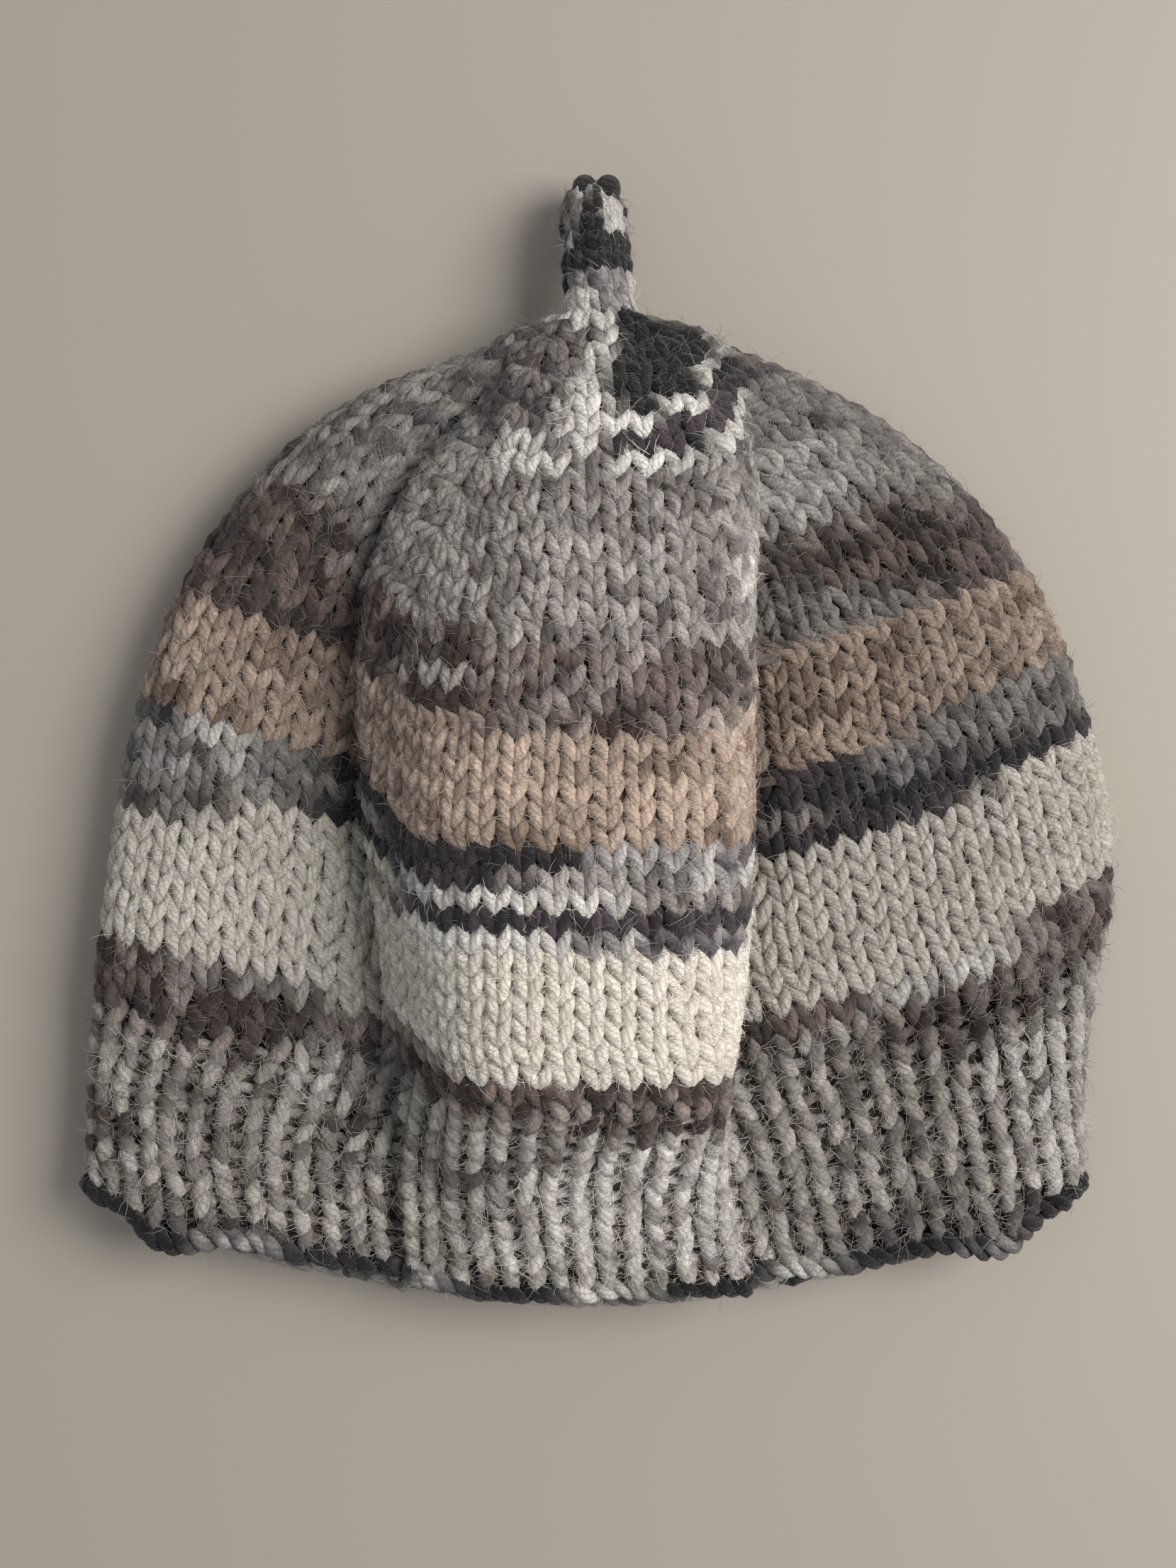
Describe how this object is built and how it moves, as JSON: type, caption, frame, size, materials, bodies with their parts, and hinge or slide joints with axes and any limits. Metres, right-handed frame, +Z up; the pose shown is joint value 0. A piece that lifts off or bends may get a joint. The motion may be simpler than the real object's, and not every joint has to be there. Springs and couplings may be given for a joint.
{
  "type": "knit hat",
  "caption": "Hand-knitted beanie lying flat on its back, with a ribbed brim, striped body with a raised middle fold, gathered crown and short knitted stalk",
  "frame": {"origin": "middle of the footprint, on the surface that the hat lies on", "axes": "+X to the hat's right as seen from above, +Y from the brim to the stalk, +Z up; the brim opens toward -Y"},
  "size_m": [0.1866, 0.2026, 0.0447],
  "materials": {
    "brim_yarn": "matte plied yarn, grey and dark purple flecks",
    "body_yarn": "matte plied yarn in cream, tan, brown and grey stripes",
    "crown_yarn": "matte plied yarn, light grey with dark purple",
    "stalk_yarn": "matte plied yarn, grey and dark purple"
  },
  "bodies": {
    "root": {"ribbed_brim": "brim_yarn", "hat_body": "body_yarn", "crown": "crown_yarn", "stalk": "stalk_yarn"}
  },
  "joints": []
}
